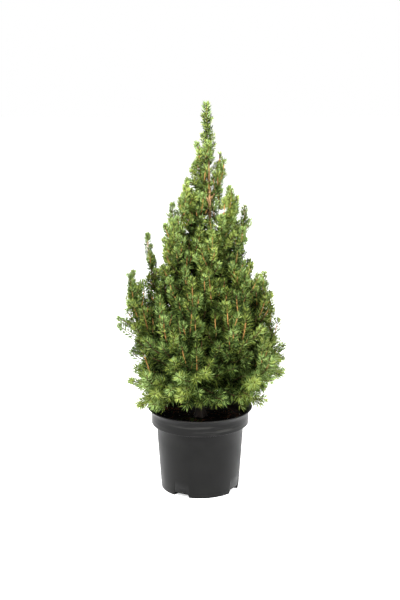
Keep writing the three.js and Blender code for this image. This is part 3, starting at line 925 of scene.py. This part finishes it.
def needle_piece(name, group, nodes):
    """One joined piece of needles. Each is a three-sided spindle with a slight bend."""
    rng = np.random.default_rng(SEED + len(name))
    random = seeded(SEED * 7 + len(group))
    arrays = [needle_arrays(spray, random, rng) for spray in group]
    root, bend, tip, tint, radius = (np.concatenate(columns) for columns in zip(*arrays))
    along = unit(tip - root)
    side = unit(np.cross(along, rng.normal(size=along.shape)))
    over = np.cross(along, side)
    spokes = [side * math.cos(a) + over * math.sin(a) for a in np.arange(3) * 2 * math.pi / 3]
    points = np.stack([root, *(bend + spoke * radius[:, None] for spoke in spokes), tip], 1)
    pattern = np.array([(0, 2, 1), (0, 3, 2), (0, 1, 3), (4, 1, 2), (4, 2, 3), (4, 3, 1)])
    faces = pattern + (np.arange(len(root)) * 5)[:, None, None]
    points, faces = points.reshape(-1, 3), faces.reshape(-1, 3)
    obj = make_object(name, points, faces, needle_materials, np.repeat(tint, len(pattern)), smooth=False)
    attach(obj, "root")
    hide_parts(*nodes)


def make_needles():
    """Needles in pieces, each of whole masses, with room in each for about MOST_NEEDLES."""
    groups, group, nodes, total = [], [], [], 0
    for label in [plan.label for plan in plans] + ["leader"]:
        own = [spray for spray in sprays if spray.mass == label]
        lengths = ((spray.length, at_height(NEEDLES_PER_MM, spray.line.at(0.6))) for spray in own)
        count = sum(length * needles + FULL_TUFT for length, needles in lengths)
        if total + count > MOST_NEEDLES:
            groups.append((group, nodes))
            group, nodes, total = [], [], 0
        group, nodes, total = group + own, nodes + ["foliage_" + label], total + count
    groups.append((group, nodes))
    for index, (members, replaced) in enumerate(groups):
        needle_piece(f"needles_{index + 1}", members, replaced)


def make_twigs():
    """The stems of all sprays, tan where young and brown towards the trunk."""
    parts, young = [], []
    for spray in sprays:
        sides, step = (5, 9) if spray.radius > 1 else (4, 7)
        tip_radius = spray.radius * STEM_TAPER
        part = tube(spray.line, spray.start, spray.end, spray.radius, tip_radius, sides, step)
        parts.append(part)
        middles = part[0][part[1]].mean(1)
        from_tip = np.linalg.norm(middles - spray.line.at(spray.end), axis=1)
        depth = outline_at(middles) - from_trunk(middles)
        upright = spray.line.tangent(spray.end - from_tip / spray.line.length)[:, 2] > 0.85
        tan = (from_tip > YOUNG_STEM[0]) & (from_tip < YOUNG_STEM[1])
        young.append(tan & (depth < SHELL[0]) & upright & (spray.radius > STEM["inner"]))
    points, faces = joined(parts)
    obj = make_object("twigs", points, faces, twig_materials, np.concatenate(young))
    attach(obj, "root")


# ---------- Trunk and boughs with bark relief ----------


def relieve(points, centres, depth, grain):
    """Moves each point of a limb in or out, for scaly bark that runs along it."""
    out = unit(points - centres)
    rough = np.array([noise.noise(Vector((p[0] * grain, p[1] * grain, p[2] * grain * 0.4))) for p in points])
    return points + out * (rough * depth)[:, None]


def flare_at(height, angle):
    near = np.clip(1 - height / TRUNK["flare_height"], 0, 1)
    return TRUNK["flare"] * near**2 * (0.6 + 0.4 * np.cos(TRUNK["roots"] * angle))


def trunk_arrays(sides=24, rings=190):
    foot = SOIL_TOP + 0.3
    heights = np.linspace(0, 1, rings) ** 1.15 * (TRUNK["top"] - foot)
    angles = np.arange(sides) / sides * 2 * np.pi
    centres = np.repeat(trunk_axis(foot + heights), sides, axis=0)
    radius = trunk_radius(foot + heights)[:, None] + flare_at(heights[:, None], angles[None])
    spokes = np.stack([np.cos(angles), np.sin(angles), np.zeros(sides)], -1)
    points = centres + (radius[..., None] * spokes[None]).reshape(-1, 3)
    points = relieve(points, centres, *RELIEF["trunk"])
    points[:sides, 2] = foot
    ends = trunk_axis(np.array([foot, TRUNK["top"]]))
    return np.concatenate([points, ends]), ring_faces(sides, rings)


def bough_arrays(plan):
    foot = mix(1.6, 3.6, min(1, plan.line.length / 300))
    points, faces = tube(plan.line, 0, plan.bare, foot, 1.3, 10, 2.5)
    shares = np.clip(np.linalg.norm(points - plan.line.at(0), axis=1) / plan.line.length, 0, 1)
    return relieve(points, plan.line.at(shares), *RELIEF["bough"]), faces


def make_bark():
    points, faces = joined([trunk_arrays()] + [bough_arrays(plan) for plan in plans])
    obj = make_object("bark", points, faces, [bark_material()])
    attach(obj, "root")
    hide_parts("trunk", *("bough_" + plan.label for plan in plans))


# ---------- Pot ----------


def arc(centre, radius, first, last, steps=6):
    """Points of a small round in a profile, from one angle to another in degrees."""
    angles = np.radians(np.linspace(first, last, steps + 1))
    return [(centre[0] + radius * math.cos(a), centre[1] + radius * math.sin(a)) for a in angles]


def revolve(profile, sides):
    """A closed turned surface from a profile that starts and ends on the axis."""
    turn = np.arange(sides) / sides * 2 * np.pi
    middle = np.array(profile[1:-1], float)
    rings = len(middle)
    r, z = middle[:, :1], middle[:, 1:]
    points = np.stack([r * np.cos(turn), r * np.sin(turn), z + 0 * turn], -1).reshape(-1, 3)
    ends = np.array([(0, 0, profile[0][1]), (0, 0, profile[-1][1])])
    return np.concatenate([points, ends]), ring_faces(sides, rings)


def pot_profile():
    height, wall = POT["height"], POT["wall"]
    rim, band = POT["rim_radius"], POT["band_radius"]
    top, foot = POT["wall_top_radius"], POT["wall_foot_radius"]
    ledge, flare = height - POT["band_depth"], height - POT["flare_depth"]
    rounding = POT["foot_round"]
    outside = [
        *arc((foot - rounding, rounding), rounding, -90, 0),
        *((mix(foot, top, share), ledge * share) for share in (0.25, 0.5, 0.75)),
        (top - 0.2, ledge - 1.2),
        (top + 0.3, ledge - 0.3),
        (top + 1.0, ledge),
        (band - 1.0, ledge),
        *arc((band - 0.9, ledge + 0.9), 0.9, -90, 0, 4),
        (band, mix(ledge, flare, 0.3)),
        (band, mix(ledge, flare, 0.7)),
        (band + 0.15, flare),
        (mix(band, rim, 0.14), flare + 3),
        (mix(band, rim, 0.36), flare + 6),
        (mix(band, rim, 0.7), flare + 8.6),
        (rim - 0.5, flare + 9.7),
        *arc((rim - 0.6, height - 0.6), 0.6, -30, 90, 4),
    ]
    inside = [
        (rim - 1.6, height),
        (mix(band, rim, 0.7) - wall, flare + 9.4),
        (mix(band, rim, 0.36) - wall, flare + 7),
        (band - wall, flare),
        (band - wall, ledge + wall + 1),
        (top - wall, ledge + wall),
        (foot - wall, POT["floor"]),
    ]
    return [(0, 0), *outside, *inside, (0, POT["floor"])]


def notch_cutter():
    """The wedges that the drain notches leave, joined for one cut."""
    parts = []
    outer, inner = POT["wall_foot_radius"] + 6, POT["wall_foot_radius"] - POT["notch_depth"]
    levels = [(-1, POT["notch_width"]), (POT["notch_height"], POT["notch_top_width"])]
    for k in range(POT["notches"]):
        middle = POT["notch_bearing"] + k * 360 / POT["notches"]
        corners = []
        for z, width in levels:
            for radius, side in ((inner, -0.5), (outer, -0.5), (outer, 0.5), (inner, 0.5)):
                corners.append(bearing(math.radians(middle + side * width)) * radius + UP * z)
        faces = [(0, 3, 2, 1), (4, 5, 6, 7), (0, 1, 5, 4), (1, 2, 6, 5), (2, 3, 7, 6), (3, 0, 4, 7)]
        parts.append((np.array(corners), np.array(faces)))
    return joined(parts)


def make_pot():
    points, faces = revolve(pot_profile(), 160)
    pot = make_object("nursery_pot", points, faces, [pot_material()])
    cutter = make_object("notches", *notch_cutter(), [], smooth=False)
    cut = pot.modifiers.new("notches", "BOOLEAN")
    cut.object, cut.operation, cut.solver = cutter, "DIFFERENCE", "EXACT"
    bpy.context.view_layer.objects.active = pot
    bpy.ops.object.modifier_apply(modifier=cut.name)
    bpy.data.objects.remove(cutter)
    bpy.ops.object.select_all(action="DESELECT")
    pot.select_set(True)
    bpy.ops.object.shade_auto_smooth(angle=math.radians(35))
    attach(pot, "root")
    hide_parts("pot")


# ---------- Soil ----------


def soil_height(x, y):
    (lump, lump_height), (crumb, crumb_height) = SOIL["lumps"], SOIL["crumbs"]
    lumps = noise.noise(Vector((x * lump, y * lump, 0))) * lump_height
    crumbs = noise.noise(Vector((x * crumb, y * crumb, 4))) * crumb_height
    return SOIL_TOP - SOIL["sunk"] + lumps + crumbs


def litter_arrays():
    """Small eight-sided bits that lie on the soil, with the index of their kind."""
    rng = np.random.default_rng(SEED)
    corners = np.array([(1, 0, 0), (-1, 0, 0), (0, 1, 0), (0, -1, 0), (0, 0, 1), (0, 0, -1)], float)
    upper, lower = [(0, 2, 4), (2, 1, 4), (1, 3, 4), (3, 0, 4)], [(2, 0, 5), (1, 2, 5), (3, 1, 5), (0, 3, 5)]
    sides = np.array(upper + lower)
    parts, kinds = [], []
    for kind, (_, count, long, wide, high, gather, _, _) in enumerate(LITTER):
        for _ in range(count):
            away, turn = LITTER_REACH * math.sqrt(rng.random()), rng.uniform(0, 2 * math.pi)
            place = bearing(turn) * away
            if gather and rng.random() < HEAP["share"]:
                place = np.array([*gather, 0]) + [*rng.normal(0, HEAP["spread"], 2), 0]
            if not TRUNK["foot_radius"] * 2 < np.hypot(*place[:2]) < LITTER_REACH:
                continue
            size = np.array([rng.uniform(*long), rng.uniform(*wide), rng.uniform(*high)])
            bit = corners * size * rng.uniform(0.7, 1.2, (6, 1))
            turn, tilt = rng.uniform(0, 2 * math.pi), rng.normal(0, 0.15)
            x = bit[:, 0] * math.cos(turn) - bit[:, 1] * math.sin(turn)
            y = bit[:, 0] * math.sin(turn) + bit[:, 1] * math.cos(turn)
            z = bit[:, 2] + bit[:, 0] * tilt + soil_height(*place[:2]) + size[2] * 0.3
            parts.append((np.stack([x + place[0], y + place[1], z], -1), sides))
            kinds.append(kind)
    points, faces = joined(parts)
    return points, faces, np.repeat(kinds, len(sides))


def make_litter():
    materials = [earth_material(name, dark, light, 700) for name, *_, dark, light in LITTER]
    points, faces, kinds = litter_arrays()
    litter = make_object("litter", points, faces, materials, kinds, smooth=False)
    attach(litter, "root")


def make_soil():
    edge = POT["band_radius"] - (POT["wall"] + SOIL["clear"])
    rings, sides = SOIL_MESH["rings"], SOIL_MESH["sides"]
    top = []
    for k in range(1, rings + 1):
        for i in range(sides):
            r, a = edge * k / rings, i / sides * 2 * math.pi
            x, y = r * math.cos(a), r * math.sin(a)
            top.append((x, y, soil_height(x, y)))
    top = np.array(top[::-1]).reshape(rings, sides, 3)[::-1, ::-1]
    skirt = top[-1] * [1, 1, 0] + [0, 0, POT["height"] - POT["band_depth"] + SOIL["skirt"]]
    ends = np.array([(0, 0, SOIL_TOP - SOIL["sunk"]), (0, 0, skirt[0, 2])])
    points = np.concatenate([top.reshape(-1, 3), skirt, ends])
    # The peat is near-black: partly its own dark colour, partly painted shade from the crown above.
    dark = earth_material("peat_and_painted_shade", (0.0012, 0.001, 0.0008), (0.007, 0.005, 0.0035), 500)
    soil = make_object("soil_surface", points, ring_faces(sides, rings + 1)[:, ::-1], [dark])
    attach(soil, "root")
    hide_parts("soil")


make_needles()
make_twigs()
make_bark()
make_pot()
make_soil()
make_litter()

# ---------- Floor, light and camera, in metres ----------

LIT_PLACE = (0, 0, 0.4)
# name, place, width, power
LAMPS = [
    ("key", (-0.8, -1.9, 2.6), 0.3, 245),
    ("fill", (1.5, -1.6, 1.7), 0.8, 60),
    ("back", (0.4, 1.9, 2.2), 1.0, 60),
]
CAMERA = {"lens": 83.1, "sensor": 36, "distance": 2.4, "height": 0.9445, "pitch": 13.9}


def make_floor():
    size = 6000
    points = [(-size, -size, 0), (size, -size, 0), (size, size, 0), (-size, size, 0)]
    glow = {"Emission_Color": (1, 1, 1, 1), "Emission_Strength": 0.68}
    paper = material("floor", Base_Color=(0.9, 0.9, 0.9, 1), Roughness=0.9, **glow)
    floor = make_object("floor", points, [(0, 1, 2, 3)], [paper], smooth=False)


def area_light(name, place, target, size, power):
    data = bpy.data.lights.new(name, "AREA")
    data.shape, data.size, data.energy = "DISK", size, power
    lamp = bpy.data.objects.new(name, data)
    lamp.location = place
    lamp.rotation_euler = (Vector(target) - Vector(place)).to_track_quat("-Z", "Y").to_euler()
    bpy.context.scene.collection.objects.link(lamp)


def make_light():
    world = bpy.data.worlds.new("studio")
    world.use_nodes = True
    tree = world.node_tree
    sky = tree.nodes.new("ShaderNodeSeparateXYZ")
    tree.links.new(tree.nodes.new("ShaderNodeTexCoord").outputs["Generated"], sky.inputs["Vector"])
    fade = tree.nodes.new("ShaderNodeMapRange")
    for socket, value in (("From Min", 0.04), ("From Max", 0.4), ("To Min", 1.0), ("To Max", 0.3)):
        fade.inputs[socket].default_value = value
    tree.links.new(sky.outputs["Z"], fade.inputs["Value"])
    background = tree.nodes["Background"]
    background.inputs["Color"].default_value = (1, 1, 1, 1)
    tree.links.new(fade.outputs["Result"], background.inputs["Strength"])
    bpy.context.scene.world = world
    for name, place, size, power in LAMPS:
        area_light(name, place, LIT_PLACE, size, power)


def make_camera():
    data = bpy.data.cameras.new("camera")
    data.lens, data.sensor_width = CAMERA["lens"], CAMERA["sensor"]
    camera = bpy.data.objects.new("camera", data)
    camera.location = (0, -CAMERA["distance"], CAMERA["height"])
    camera.rotation_euler = (math.radians(90 - CAMERA["pitch"]), 0, 0)
    bpy.context.scene.collection.objects.link(camera)
    bpy.context.scene.camera = camera


make_floor()
make_light()
make_camera()
bpy.context.scene.view_settings.view_transform = "Standard"
